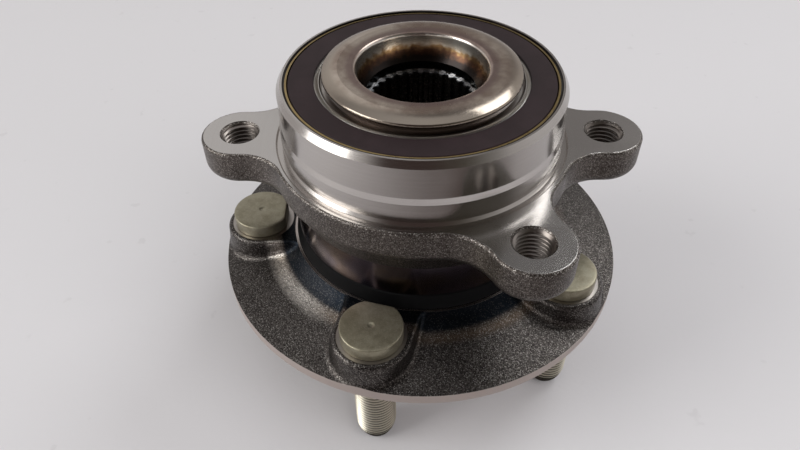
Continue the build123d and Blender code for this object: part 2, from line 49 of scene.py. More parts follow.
def srgb(red, green, blue):
    # a colour as picked on screen, 0 to 255
    values = []
    for value in (red, green, blue):
        value = value / 255
        values.append(value / 12.92 if value <= 0.04045 else ((value + 0.055) / 1.055) ** 2.4)
    return (*values, 1.0)


# small helpers for node trees

def setInputs(tree, node, values):
    # a socket is linked, and anything else is the input's own value
    for name, value in values.items():
        if isinstance(value, bpy.types.NodeSocket):
            tree.links.new(value, node.inputs[name])
        else:
            node.inputs[name].default_value = value


def put(tree, kind, inputs=None, **settings):
    node = tree.nodes.new("ShaderNode" + kind)
    for name, value in settings.items():
        setattr(node, name, value)
    setInputs(tree, node, inputs or {})
    return node


def place(tree, group, **inputs):
    node = tree.nodes.new("ShaderNodeGroup")
    node.node_tree = group
    setInputs(tree, node, inputs)
    return node.outputs


def calc(tree, operation, *values, clamp=False):
    inputs = dict(enumerate(values))
    return put(tree, "Math", inputs, operation=operation, use_clamp=clamp).outputs[0]


def rise(tree, value, low, high):
    # 0 at low, 1 at high, smooth between
    return put(tree, "MapRange", {"Value": value, "From Min": low, "From Max": high},
               interpolation_type="SMOOTHSTEP").outputs[0]


def both(tree, *masks):
    result = masks[0]
    for mask in masks[1:]:
        result = calc(tree, "MULTIPLY", result, mask)
    return result


def flip(tree, mask):
    return calc(tree, "SUBTRACT", 1.0, mask, clamp=True)


def swing(tree, mask, amount, base):
    # base where the mask is 0, and amount more where it is 1
    return calc(tree, "MULTIPLY_ADD", mask, amount, base)


def mixColour(tree, factor, first, second):
    return put(tree, "Mix", {0: factor, 6: first, 7: second}, data_type="RGBA").outputs[2]


def mixValue(tree, factor, first, second):
    return put(tree, "Mix", {0: factor, 2: first, 3: second}, data_type="FLOAT").outputs[0]


def colours(tree, value, *stops):
    node = put(tree, "ValToRGB", {0: value})
    ramp = node.color_ramp
    while len(ramp.elements) < len(stops):
        ramp.elements.new(0.5)
    for element, (position, colour) in zip(ramp.elements, stops):
        element.position = position
        element.color = colour
    return node.outputs[0]


def noise(tree, vector, scale, detail=2.0, rough=0.5):
    inputs = {"Vector": vector, "Scale": scale, "Detail": detail, "Roughness": rough}
    return put(tree, "TexNoise", inputs).outputs[0]


def separate(tree, vector):
    return put(tree, "SeparateXYZ", {0: vector}).outputs


def vectorMath(tree, operation, output, **inputs):
    sockets = {"first": 0, "second": 1, "scale": 3}
    values = {sockets[name]: value for name, value in inputs.items()}
    return put(tree, "VectorMath", values, operation=operation).outputs[output]


def makeZones(tree, measures, edges):
    # a mask for each named zone; each edge is a measure, where it is 0 and where it is 1
    zones = {}
    for name, limits in edges.items():
        masks = [rise(tree, measures[measure], outside, inside) for measure, outside, inside in limits]
        zones[name] = both(tree, *masks)
    return zones


def effectGroup(name, inputs, outputs):
    # a node group with named sockets: (name, default) in, names out
    tree = bpy.data.node_groups.new(name, "ShaderNodeTree")
    for label, default in inputs:
        kind = "NodeSocketVector" if isinstance(default, tuple) else "NodeSocketFloat"
        socket = tree.interface.new_socket(label, in_out="INPUT", socket_type=kind)
        socket.default_value = default
    for label in outputs:
        kind = "NodeSocketVector" if label == "Place" else "NodeSocketFloat"
        tree.interface.new_socket(label, in_out="OUTPUT", socket_type=kind)
    return tree, tree.nodes.new("NodeGroupInput").outputs, tree.nodes.new("NodeGroupOutput")


# where a point is about the hub axis, in millimetres

def makeAxisPlace():
    tree, start, end = effectGroup("axisPlace", [], ["Place", "Radius", "Height", "Turn"])
    where = put(tree, "TexCoord").outputs["Object"]
    scaled = vectorMath(tree, "SCALE", 0, first=where, scale=1 / mm)
    parts = separate(tree, scaled)
    flat = put(tree, "CombineXYZ", {"X": parts[0], "Y": parts[1]}).outputs[0]
    radius = vectorMath(tree, "LENGTH", "Value", first=flat)
    turn = calc(tree, "ARCTAN2", parts[1], parts[0])
    setInputs(tree, end, {"Place": scaled, "Radius": radius, "Height": parts[2], "Turn": turn})
    return tree


# fine rings that a cutting tool leaves, running round the axis

marksForm = {
    "fineDetail": (1.0, 3.0, 0.6),  # scale, detail and roughness of the noise
    "broadDetail": (0.13, 2.0, 0.5),
    "broadShare": 0.4,
}


def makeTurningMarks():
    tree, start, end = effectGroup(
        "turningMarks",
        [("Radius", 0.0), ("Height", 0.0), ("Turn", 0.0), ("Pitch", 0.25), ("Unevenness", 0.3)],
        ["Height", "Shade"])
    across = calc(tree, "DIVIDE", start["Radius"], start["Pitch"])
    along = calc(tree, "DIVIDE", start["Height"], start["Pitch"])
    wander = both(tree, start["Turn"], start["Unevenness"])
    line = put(tree, "CombineXYZ", {"X": across, "Y": along, "Z": wander}).outputs[0]
    fine = noise(tree, line, *marksForm["fineDetail"])
    broad = noise(tree, line, *marksForm["broadDetail"])
    shade = mixValue(tree, marksForm["broadShare"], fine, broad)
    setInputs(tree, end, {"Height": fine, "Shade": shade})
    return tree


# skin of a shot blasted forging: painted glints as dense bright points on a dark ground, with soft pits

skinForm = {
    "fineDetail": (2.0, 0.7),
    "pits": 1.3,  # to each grain
    "patches": 0.05,
    "patchShare": 0.15,
    "pitShare": 0.35,
    "glintPits": (0.45, 1.0),
    "pitReach": (0.6, 0.25),
    "fineShade": (0.36, 0.64),
    "patchShade": (0.35, 0.65),
}


def makeBlastedSkin():
    form = skinForm
    tree, start, end = effectGroup(
        "blastedSkin", [("Place", (0.0, 0.0, 0.0)), ("Grain", 0.7)], ["Height", "Shade", "Glint"])
    size = calc(tree, "DIVIDE", 1.0, start["Grain"])
    fine = noise(tree, start["Place"], size, *form["fineDetail"])
    pits = put(tree, "TexVoronoi", {"Vector": start["Place"], "Scale": both(tree, size, form["pits"])},
               feature="F1").outputs
    chance = put(tree, "SeparateColor", {0: pits["Color"]}).outputs[0]
    broad = noise(tree, start["Place"], both(tree, size, form["patches"]))
    # a mask for painted glints on some of the pits
    glint = both(tree, rise(tree, chance, *form["glintPits"]),
                 rise(tree, pits["Distance"], *form["pitReach"]))
    shade = mixValue(tree, form["patchShare"],
                     rise(tree, fine, *form["fineShade"]), rise(tree, broad, *form["patchShade"]))
    height = mixValue(tree, form["pitShare"], fine, calc(tree, "SUBTRACT", 1.0, pits["Distance"]))
    setInputs(tree, end, {"Height": height, "Shade": shade, "Glint": glint})
    return tree


# smudges and hairline scratches from handling and packing

handlingForm = {
    "smudgeDetail": (4.0, 0.62),
    "smudgeEdge": (0.42, 0.66),
    "scratchTurn": (0.4, 0.7, 0.9),
    "scratchStretch": (1.0, 0.06, 0.4),
    "scratchScale": 0.9,
    "scratchWidth": (0.012, 0.002),
    "scratchedPatches": 0.8,  # to each smudge
    "patchEdge": (0.52, 0.62),
}


def makeHandlingMarks():
    form = handlingForm
    tree, start, end = effectGroup(
        "handlingMarks", [("Place", (0.0, 0.0, 0.0)), ("Size", 14.0)], ["Smudge", "Scratch"])
    size = calc(tree, "DIVIDE", 1.0, start["Size"])
    smudge = rise(tree, noise(tree, start["Place"], size, *form["smudgeDetail"]), *form["smudgeEdge"])
    stretched = put(tree, "Mapping", {"Vector": start["Place"], "Rotation": form["scratchTurn"],
                                      "Scale": form["scratchStretch"]}).outputs[0]
    hair = calc(tree, "SUBTRACT", noise(tree, stretched, form["scratchScale"]), 0.5)
    thin = rise(tree, calc(tree, "ABSOLUTE", hair), *form["scratchWidth"])
    patches = noise(tree, start["Place"], both(tree, size, form["scratchedPatches"]), 1.0)
    scratch = both(tree, thin, rise(tree, patches, *form["patchEdge"]))
    setInputs(tree, end, {"Smudge": smudge, "Scratch": scratch})
    return tree


# distance from the axis of the nearest wheel stud

def makeFromStud():
    tree, start, end = effectGroup("fromStud", [("Radius", 0.0), ("Turn", 0.0)], ["Distance"])
    apart = 2 * pi / studPlaces["count"]
    # a whole turn is added, so that the remainder is never of a negative angle
    turned = calc(tree, "ADD", start["Turn"], apart / 2 + 2 * pi - radians(studPlaces["firstAngle"]))
    folded = calc(tree, "SUBTRACT", calc(tree, "MODULO", turned, apart), apart / 2)
    aside = both(tree, start["Radius"], calc(tree, "SINE", folded))
    ahead = calc(tree, "SUBTRACT", both(tree, start["Radius"], calc(tree, "COSINE", folded)),
                 studPlaces["circle"])
    square = calc(tree, "ADD", both(tree, aside, aside), both(tree, ahead, ahead))
    setInputs(tree, end, {"Distance": calc(tree, "SQRT", square)})
    return tree


axisPlace = makeAxisPlace()
turningMarks = makeTurningMarks()
blastedSkin = makeBlastedSkin()
handlingMarks = makeHandlingMarks()
fromStud = makeFromStud()


def newFinish(name, **plain):
    # a material with its shader; the named values are the same all over the surface
    material = bpy.data.materials.new(name)
    material.use_nodes = True
    tree = material.node_tree
    shader = tree.nodes["Principled BSDF"]
    for label, value in plain.items():
        shader.inputs[label.replace("_", " ")].default_value = value
    return material, tree, shader


def turnedFinish(name, drag):
    # turning marks blur a reflection across themselves and leave it sharper along them
    material, tree, shader = newFinish(name, Metallic=1.0, Anisotropic=drag, Anisotropic_Rotation=0.25)
    around = put(tree, "Tangent", direction_type="RADIAL", axis="Z").outputs[0]
    tree.links.new(around, shader.inputs["Tangent"])
    return material, tree, shader


def placeMarks(tree, at, pitch):
    return place(tree, turningMarks, Radius=at["Radius"], Height=at["Height"], Turn=at["Turn"], Pitch=pitch)


def feed(tree, shader, colour, rough, height, depth):
    tree.links.new(colour, shader.inputs["Base Color"])
    if rough is not None:
        tree.links.new(rough, shader.inputs["Roughness"])
    bump = put(tree, "Bump", {"Height": height, "Strength": 1.0, "Distance": depth * mm})
    tree.links.new(bump.outputs[0], shader.inputs["Normal"])


print("effects ready")


# outer ring: turned pilot, milled lug faces, blasted forging below them, dark turned skirt

ringLook = {
    "turned": srgb(198, 194, 190),
    "turnedShade": srgb(176, 170, 166),
    "milled": srgb(197, 194, 191),
    "milledShade": srgb(183, 179, 176),
    "forged": srgb(112, 105, 100),
    "forgedDark": srgb(60, 55, 52),
    # painted glints of the blasted forging
    "glint": srgb(196, 190, 183),
    # painted glints along the lugs' upper edges
    "edge": srgb(222, 217, 210),
    "skirt": srgb(106, 92, 85),
    "skirtTint": srgb(94, 85, 93),
    # painted shade in the gap between the ring's bore and the seal case
    "gapShade": srgb(22, 18, 16),
    "drag": 0.3,  # of reflections along the turning
    "pitch": 0.22,  # between turning marks
    "grain": 0.42,
    "smudges": 16.0,
    "tintClouds": 0.06,
    "tintEdge": (0.4, 0.6),
    "glintShare": 0.7,
    "edgeGlints": 0.9,
    # roughness: what the marks add, and what they add it to
    "turnedRough": (0.08, 0.14),
    "faceRough": (0.01, 0.16),
    "forgedRough": (-0.12, 0.44),
    "smudgeRough": 0.03,
    # shares of the relief's depth
    "turnedRelief": 0.009,
    "faceRelief": 0.0025,
    "forgedRelief": 0.5,
    "scratchRelief": -0.004,
    "relief": 0.3,
}

ringZones = {
    "forging": (("Radius", 43.65, 43.85), ("Height", 31.26, 31.34), ("Height", 50.394, 50.37)),
    "pilotFoot": (("Radius", 47.75, 47.55), ("Height", 49.75, 49.9)),
    "face": (("Radius", 47.5, 47.7), ("Height", 50.37, 50.39)),
    "skirt": (("Height", 38.0, 37.5), ("Radius", 43.8, 43.6), ("Radius", 43.0, 43.2)),
    "gapShade": (("Height", 71.2, 71.3), ("Radius", 43.02, 42.94)),
    "upperEdge": (("Height", 49.0, 49.7),),
}


def makeRingSteel():
    look = ringLook
    material, tree, shader = turnedFinish("ringSteel", look["drag"])
    at = place(tree, axisPlace)
    marks = placeMarks(tree, at, look["pitch"])
    skin = place(tree, blastedSkin, Place=at["Place"], Grain=look["grain"])
    hands = place(tree, handlingMarks, Place=at["Place"], Size=look["smudges"])
    zone = makeZones(tree, at, ringZones)
    forged = both(tree, zone["forging"], flip(tree, zone["pilotFoot"]))

    turned = mixColour(tree, marks["Shade"], look["turnedShade"], look["turned"])
    milled = mixColour(tree, marks["Shade"], look["milledShade"], look["milled"])
    tint = rise(tree, noise(tree, at["Place"], look["tintClouds"]), *look["tintEdge"])
    skirt = mixColour(tree, tint, look["skirt"], look["skirtTint"])
    rough = mixColour(tree, skin["Shade"], look["forgedDark"], look["forged"])
    # painted glints on the blasted forging
    rough = mixColour(tree, both(tree, skin["Glint"], look["glintShare"]), rough, look["glint"])
    # painted glints along the upper edges of the lugs
    paintedEdgeGlint = both(tree, zone["upperEdge"], skin["Glint"], look["edgeGlints"])
    rough = mixColour(tree, paintedEdgeGlint, rough, look["edge"])
    colour = mixColour(tree, zone["face"], turned, milled)
    colour = mixColour(tree, zone["skirt"], colour, skirt)
    colour = mixColour(tree, forged, colour, rough)
    # painted shade in the gap beside the seal case
    colour = mixColour(tree, zone["gapShade"], colour, look["gapShade"])

    value = mixValue(tree, zone["face"], swing(tree, marks["Shade"], *look["turnedRough"]),
                     swing(tree, marks["Shade"], *look["faceRough"]))
    value = swing(tree, hands["Smudge"], look["smudgeRough"], value)
    value = mixValue(tree, forged, value, swing(tree, skin["Shade"], *look["forgedRough"]))

    cut = both(tree, marks["Height"], mixValue(tree, zone["face"], look["turnedRelief"], look["faceRelief"]))
    height = mixValue(tree, forged, cut, both(tree, skin["Height"], look["forgedRelief"]))
    height = swing(tree, hands["Scratch"], look["scratchRelief"], height)
    feed(tree, shader, colour, value, height, look["relief"])
    return material


# hub: blasted flange, heat tint beside the seal, turned rim, formed collar and its throat

hubLook = {
    "forged": srgb(92, 87, 84),
    "forgedDark": srgb(38, 35, 34),
    # painted glints of the blasted flange
    "glint": srgb(190, 185, 179),
    "blue": srgb(22, 28, 35),
    "straw": srgb(132, 108, 84),
    # painted highlight on the slope behind the seal
    "slope": srgb(226, 219, 210),
    "pad": srgb(170, 164, 159),
    "turned": srgb(196, 190, 186),
    "rim": srgb(190, 178, 172),
    "collar": srgb(204, 192, 179),
    "collarBrown": srgb(152, 134, 122),
    "collarBand": srgb(134, 113, 109),
    "bevel": srgb(160, 149, 137),
    # painted shade under the collar's rim
    "underside": srgb(92, 76, 66),
    "spline": srgb(96, 92, 88),
    # painted highlight on the spline's tooth tops
    "toothTopHighlight": srgb(164, 168, 173),
    # down the throat: painted highlight at its silver lip, then a heat tint, then painted shade to the dark
    # end
    "throat": ((0.0, srgb(240, 237, 232)), (0.3, srgb(226, 219, 206)), (0.38, srgb(164, 134, 96)),
               (0.48, srgb(96, 70, 54)), (0.62, srgb(46, 40, 38)), (0.86, srgb(40, 40, 40)),
               (1.0, srgb(50, 50, 50))),
    "throatTop": 75.6,
    "throatDepth": 12.6,
    "mottle": (0.5, 4.0, 0.65),  # scale, detail and roughness of the noise
    "mottleShare": 0.3,
    "drag": 0.6,
    "pitch": 0.3,
    "grain": 0.44,
    "smudges": 12.0,
    "heatClouds": 0.035,
    "heatEdge": (0.3, 0.55),
    "blueShare": (0.85, 0.97),
    "strawShare": 0.3,
    "slopeHighlightShare": (0.12, 1.0),
    "glintShare": 0.7,
    "sealGlints": 0.12,
    "bandShare": 0.75,
    "collarClouds": (0.07, 4.0, 0.6),
    "brownEdge": (0.36, 0.64),
    "dents": (0.55, 3.0, 0.6),
    # roughness: what the marks add, and what they add it to
    "turnedRough": (0.14, 0.2),
    "collarRough": (0.14, 0.19),
    "bevelRough": (0.1, 0.14),
    "forgedRough": (-0.1, 0.4),
    "slopeRough": -0.1,
    "rimRough": 0.42,
    "throatRough": 0.26,
    "padRough": 0.3,
    # shares of the relief's depth
    "turnedRelief": 0.012,
    "dentRelief": 0.08,
    "forgedRelief": 0.45,
    "scratchRelief": -0.006,
    "relief": 0.34,
}

hubZones = {
    "pad": (("FromStud", 11.15, 11.0), ("Height", 13.22, 13.27), ("Radius", 45.7, 45.9)),
    "rim": (("Radius", 70.93, 70.97),),
    "flange": (("Radius", 45.58, 45.62), ("Height", 0.9, 1.1)),
    "nearSeal": (("Radius", 51.5, 49.7),),
    "strawRing": (("Radius", 49.5, 53.5), ("Radius", 56.0, 52.0)),
    # painted highlight behind the seal, on the side towards windowLeft
    "slope": (("Radius", 50.1, 53.1), ("Radius", 57.5, 54.5), ("Turn", -3.15, -2.65), ("Turn", -1.5, -2.0)),
    "collar": (("Height", 70.6, 70.9), ("Radius", 20.3, 20.9)),
    "innerBand": (("Radius", 19.6, 22.0), ("Radius", 24.8, 22.4)),
    "bevel": (("Height", 70.6, 70.9), ("Radius", 26.0, 29.0)),
    # painted shade under the collar's rim
    "underside": (("Height", 73.7, 73.3), ("Radius", 29.0, 29.2), ("Height", 66.0, 67.0)),
    "throat": (("Height", 62.6, 63.2), ("Radius", 21.0, 20.4)),
    "throatEnd": (("Height", 62.97, 63.13), ("Height", 63.83, 63.67)),
    "spline": (("Height", 63.0, 62.95), ("Radius", 17.5, 17.4)),
    # painted highlight on the spline's tooth tops
    "toothTopHighlight": (("Height", 63.0, 62.95), ("Radius", 17.5, 17.4), ("Height", 62.35, 62.5)),
}


def flangeColour(tree, at, skin, zone, look):
    colour = mixColour(tree, skin["Shade"], look["forgedDark"], look["forged"])
    clouds = rise(tree, noise(tree, at["Place"], look["heatClouds"]), *look["heatEdge"])
    blued = both(tree, zone["nearSeal"], mixValue(tree, clouds, *look["blueShare"]))
    colour = mixColour(tree, blued, colour, look["blue"])
    colour = mixColour(tree, both(tree, zone["strawRing"], clouds, look["strawShare"]), colour, look["straw"])
    # painted highlight on the slope behind the seal
    slopeHighlight = both(tree, zone["slope"], mixValue(tree, skin["Shade"], *look["slopeHighlightShare"]))
    colour = mixColour(tree, slopeHighlight, colour, look["slope"])
    # painted glints, more of them on the slope and few beside the seal
    glints = mixValue(tree, zone["slope"], look["glintShare"], 1.0)
    glints = both(tree, skin["Glint"], mixValue(tree, zone["nearSeal"], glints, look["sealGlints"]))
    return mixColour(tree, glints, colour, look["glint"])


def throatColour(tree, at, zone, look):
    # painted highlight at the lip and painted shade deeper down, with a mottled heat tint between
    below = calc(tree, "SUBTRACT", look["throatTop"], at["Height"])
    shadeAndTint = calc(tree, "DIVIDE", below, look["throatDepth"])
    shadeAndTint = calc(tree, "SUBTRACT", shadeAndTint, look["mottleShare"] / 2)
    shadeAndTint = swing(tree, noise(tree, at["Place"], *look["mottle"]), look["mottleShare"], shadeAndTint)
    return mixColour(tree, zone["throatEnd"], colours(tree, shadeAndTint, *look["throat"]), look["turned"])


def makeHubSteel():
    look = hubLook
    material, tree, shader = turnedFinish("hubSteel", look["drag"])
    at = place(tree, axisPlace)
    marks = placeMarks(tree, at, look["pitch"])
    skin = place(tree, blastedSkin, Place=at["Place"], Grain=look["grain"])
    hands = place(tree, handlingMarks, Place=at["Place"], Size=look["smudges"])
    stud = place(tree, fromStud, Radius=at["Radius"], Turn=at["Turn"])
    measures = {name: at[name] for name in ("Radius", "Height", "Turn")}
    zone = makeZones(tree, {**measures, "FromStud": stud["Distance"]}, hubZones)
    forged = both(tree, zone["flange"], flip(tree, zone["rim"]), flip(tree, zone["pad"]))

    clouds = noise(tree, at["Place"], *look["collarClouds"])
    collar = mixColour(tree, rise(tree, clouds, *look["brownEdge"]), look["collar"], look["collarBrown"])
    collar = mixColour(tree, both(tree, zone["innerBand"], look["bandShare"]), collar, look["collarBand"])
    colour = mixColour(tree, marks["Shade"], look["rim"], look["turned"])
    for name, tint in (("rim", look["rim"]), ("pad", look["pad"]), ("collar", collar),
                       ("bevel", look["bevel"]), ("underside", look["underside"]),
                       ("throat", throatColour(tree, at, zone, look)), ("spline", look["spline"]),
                       ("toothTopHighlight", look["toothTopHighlight"])):
        colour = mixColour(tree, zone[name], colour, tint)
    colour = mixColour(tree, forged, colour, flangeColour(tree, at, skin, zone, look))

    value = swing(tree, marks["Shade"], *look["turnedRough"])
    for name, rough in (("rim", look["rimRough"]), ("collar", swing(tree, clouds, *look["collarRough"])),
                        ("bevel", swing(tree, marks["Shade"], *look["bevelRough"])),
                        ("throat", look["throatRough"]), ("pad", look["padRough"])):
        value = mixValue(tree, zone[name], value, rough)
    blasted = swing(tree, skin["Shade"], *look["forgedRough"])
    value = mixValue(tree, forged, value, swing(tree, zone["slope"], look["slopeRough"], blasted))

    cut = both(tree, marks["Height"], look["turnedRelief"])
    dents = both(tree, noise(tree, at["Place"], *look["dents"]), look["dentRelief"])
    height = mixValue(tree, zone["collar"], cut, dents)
    height = mixValue(tree, forged, height, both(tree, skin["Height"], look["forgedRelief"]))
    height = swing(tree, hands["Scratch"], look["scratchRelief"], height)
    feed(tree, shader, colour, value, height, look["relief"])
    return material


# olive plating on the studs, with a painted highlight on the crests of the thread and painted shade in its
# roots

studLook = {
    "plate": srgb(160, 154, 134),
    "plateDark": srgb(134, 127, 107),
    # pale, for painted glints and for smudges
    "glintAndSmudge": srgb(184, 179, 162),
    # painted highlight on the crests of the thread, painted shade in its roots
    "thread": srgb(214, 208, 192),
    "threadRootShade": srgb(60, 55, 46),
    "metal": 0.8,
    "grain": 0.55,
    "smudges": 7.0,
    "clouds": (0.22, 4.0, 0.65),  # scale, detail and roughness of the noise
    "paleEdge": (0.3, 0.7),
    "pores": (1.6, 4.0, 0.7),
    "poreShare": 0.5,
    "glintShare": 0.35,
    "smudgeShare": 0.2,
    "rootToCrest": (6.35, 6.95),
    "shank": (0.4, 0.0),  # heights where it starts
    "headRough": (0.16, 0.28),
    "shankRough": 0.3,
    "relief": 0.07,
}


def makeStudPlating():
    look = studLook
    material, tree, shader = newFinish("studPlating", Metallic=look["metal"])
    at = place(tree, axisPlace)
    skin = place(tree, blastedSkin, Place=at["Place"], Grain=look["grain"])
    hands = place(tree, handlingMarks, Place=at["Place"], Size=look["smudges"])
    stud = place(tree, fromStud, Radius=at["Radius"], Turn=at["Turn"])
    clouds = noise(tree, at["Place"], *look["clouds"])
    shank = rise(tree, at["Height"], *look["shank"])
    colour = mixColour(tree, rise(tree, clouds, *look["paleEdge"]), look["plateDark"], look["plate"])
    # painted glints
    colour = mixColour(tree, both(tree, skin["Glint"], look["glintShare"]), colour, look["glintAndSmudge"])
    colour = mixColour(tree, both(tree, hands["Smudge"], look["smudgeShare"]), colour, look["glintAndSmudge"])
    # painted highlight on the thread's crests and painted shade in its roots
    crest = rise(tree, stud["Distance"], *look["rootToCrest"])
    colour = mixColour(tree, shank, colour, mixColour(tree, crest, look["threadRootShade"], look["thread"]))
    value = mixValue(tree, shank, swing(tree, clouds, *look["headRough"]), look["shankRough"])
    height = mixValue(tree, look["poreShare"], skin["Height"], noise(tree, at["Place"], *look["pores"]))
    height = mixValue(tree, shank, height, 0.5)  # the shank's relief is its own thread
    feed(tree, shader, colour, value, height, look["relief"])
    return material


# ground steel of the inner ring and the balls, and a darker copy of it for the cut steel of the tapped
# threads

groundLooks = {
    "groundSteel": {"dark": srgb(190, 187, 183), "pale": srgb(216, 213, 208), "stain": srgb(176, 160, 142),
                    "rough": (0.1, 0.28)},
    "threadSteel": {"dark": srgb(120, 113, 108), "pale": srgb(150, 143, 138), "stain": srgb(96, 84, 74),
                    "rough": (0.1, 0.26)},
}
groundMarks = {"pitch": 0.16, "smudges": 9.0, "stainShare": 0.2, "markRelief": 0.2, "relief": 0.02}


def makeGroundSteel(name):
    look = groundLooks[name]
    material, tree, shader = newFinish(name, Metallic=1.0)
    at = place(tree, axisPlace)
    marks = placeMarks(tree, at, groundMarks["pitch"])
    hands = place(tree, handlingMarks, Place=at["Place"], Size=groundMarks["smudges"])
    colour = mixColour(tree, marks["Shade"], look["dark"], look["pale"])
    colour = mixColour(tree, both(tree, hands["Smudge"], groundMarks["stainShare"]), colour, look["stain"])
    height = both(tree, marks["Height"], groundMarks["markRelief"])
    feed(tree, shader, colour, swing(tree, marks["Shade"], *look["rough"]), height, groundMarks["relief"])
    return material


# straw coloured pressed sheet of the seal cases

sheetLook = {
    "dark": srgb(150, 128, 84),
    "pale": srgb(184, 164, 118),
    "stain": srgb(140, 118, 84),
    "stainShare": 0.3,
    "smudges": 6.0,
    "clouds": (0.3, 3.0),
    "pores": (2.0, 3.0),
    "rough": (0.14, 0.22),
    "relief": 0.01,
}


def makePressedSheet():
    look = sheetLook
    material, tree, shader = newFinish("pressedSheet", Metallic=1.0)
    at = place(tree, axisPlace)
    hands = place(tree, handlingMarks, Place=at["Place"], Size=look["smudges"])
    clouds = noise(tree, at["Place"], *look["clouds"])
    colour = mixColour(tree, clouds, look["dark"], look["pale"])
    colour = mixColour(tree, both(tree, hands["Smudge"], look["stainShare"]), colour, look["stain"])
    height = noise(tree, at["Place"], *look["pores"])
    feed(tree, shader, colour, swing(tree, clouds, *look["rough"]), height, look["relief"])
    return material


# rubber of the encoder and the lips, and the cages' polyamide

rubberLooks = {
    "encoderRubber": {"base": srgb(32, 19, 21), "dusty": srgb(45, 31, 34), "gloss": 0.3,
                      "rough": (0.14, 0.5), "grain": 3.2, "relief": 0.012},
    "lipRubber": {"base": srgb(5, 5, 6), "dusty": srgb(12, 12, 13), "gloss": 0.15,
                  "rough": (0.14, 0.5), "grain": 2.4, "relief": 0.02},
    "cageNylon": {"base": srgb(38, 37, 36), "dusty": srgb(60, 58, 55), "gloss": 0.5,
                  "rough": (0.14, 0.38), "grain": 1.8, "relief": 0.02},
}
rubberDust = {"smudges": 10.0, "smudgeShare": 0.5, "grainDetail": (3.0, 0.6), "grainShare": 0.25}


def makeRubber(name):
    look = rubberLooks[name]
    material, tree, shader = newFinish(name, Metallic=0.0, Specular_IOR_Level=look["gloss"])
    at = place(tree, axisPlace)
    hands = place(tree, handlingMarks, Place=at["Place"], Size=rubberDust["smudges"])
    fine = noise(tree, at["Place"], look["grain"], *rubberDust["grainDetail"])
    smudged = both(tree, hands["Smudge"], rubberDust["smudgeShare"])
    colour = mixColour(tree, smudged, look["base"], look["dusty"])
    colour = mixColour(tree, both(tree, fine, rubberDust["grainShare"]), colour, look["dusty"])
    feed(tree, shader, colour, swing(tree, fine, *look["rough"]), fine, look["relief"])
    return material


ringSteel = makeRingSteel()
hubSteel = makeHubSteel()
studPlating = makeStudPlating()
groundSteel = makeGroundSteel("groundSteel")
threadSteel = makeGroundSteel("threadSteel")
pressedSheet = makePressedSheet()
encoderRubber = makeRubber("encoderRubber")
lipRubber = makeRubber("lipRubber")
cageNylon = makeRubber("cageNylon")

finishOf = {
    "outer_ring": ringSteel, "wheel_hub": hubSteel, "wheel_studs": studPlating, "encoder_ring": encoderRubber,
    "inboard_seal_case": pressedSheet, "outboard_seal_case": pressedSheet,
    "inboard_seal_lips": lipRubber, "outboard_seal_lips": lipRubber,
    "inboard_cage": cageNylon, "outboard_cage": cageNylon,
}
for nodeName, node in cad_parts.items():
    finish = finishOf.get(nodeName, groundSteel)  # inner ring, slinger and balls
    if not node.material_slots:
        node.data.materials.append(finish)
    for slot in node.material_slots:
        slot.material = finish
print("solid pieces finished:", len(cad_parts))


# mesh helpers; a ring is a list of points in order round the piece's own axis

threadForm = {
    "crest": 0.14,  # shares of one pitch
    "root": 0.2,
    "weld": 0.0005,  # points nearer than this become one
    "endBand": 0.0002,  # how near an end a point of its ring lies
    "sharpAngle": 38,
}


def threadDip(share):
    # depth over one pitch, 0 at the crest and 1 at the root
    crest = threadForm["crest"]
    flank = (1 - crest - threadForm["root"]) / 2
    if share < crest:
        return 0.0
    if share < crest + flank:
        return (share - crest) / flank
    if share < 1 - flank:
        return 1.0
    return (1 - share) / flank


def atAngle(radius, angle, height):
    return radius * cos(angle), radius * sin(angle), height


def helixSkin(mesh, top, bottom, pitch, radiusAt, sides=56, steps=9):
    # a tube whose rows follow the helix; radiusAt(height, dip) gives its radius. Returns its two end rings
    rows = (int((top - bottom) / pitch) + 3) * steps
    grid = []
    for side in range(sides):
        column = []
        for row in range(rows + 1):
            height = top + pitch - pitch * (row / steps + side / sides)
            height = min(top, max(bottom, height))
            radius = radiusAt(height, threadDip((row % steps) / steps))
            column.append(mesh.verts.new(atAngle(radius, 2 * pi * side / sides, height)))
        grid.append(column)
    for side in range(sides):
        last = side == sides - 1
        shift = steps if last else 0  # the last column meets the first one a full pitch on
        after = grid[0] if last else grid[side + 1]
        for row in range(rows - shift):
            mesh.faces.new((grid[side][row], grid[side][row + 1],
                            after[row + 1 + shift], after[row + shift]))
    made = [vert for column in grid for vert in column]
    bmesh.ops.remove_doubles(mesh, verts=made, dist=threadForm["weld"])
    rings = []
    for height in (top, bottom):
        ring = [vert for vert in made if vert.is_valid and abs(vert.co.z - height) < threadForm["endBand"]]
        rings.append(sorted(ring, key=lambda vert: atan2(vert.co.y, vert.co.x) % (2 * pi - 1e-6)))
    return rings


def ringOf(mesh, height, radiusAt, sides):
    angles = [2 * pi * side / sides for side in range(sides)]
    return [mesh.verts.new(atAngle(radiusAt(angle), angle, height)) for angle in angles]


def bridge(mesh, upper, lower):
    for side in range(len(upper)):
        after = (side + 1) % len(upper)
        mesh.faces.new((upper[side], lower[side], lower[after], upper[after]))


def cap(mesh, ring, height):
    middle = mesh.verts.new((0, 0, height))
    for side in range(len(ring)):
        mesh.faces.new((ring[side], ring[(side + 1) % len(ring)], middle))


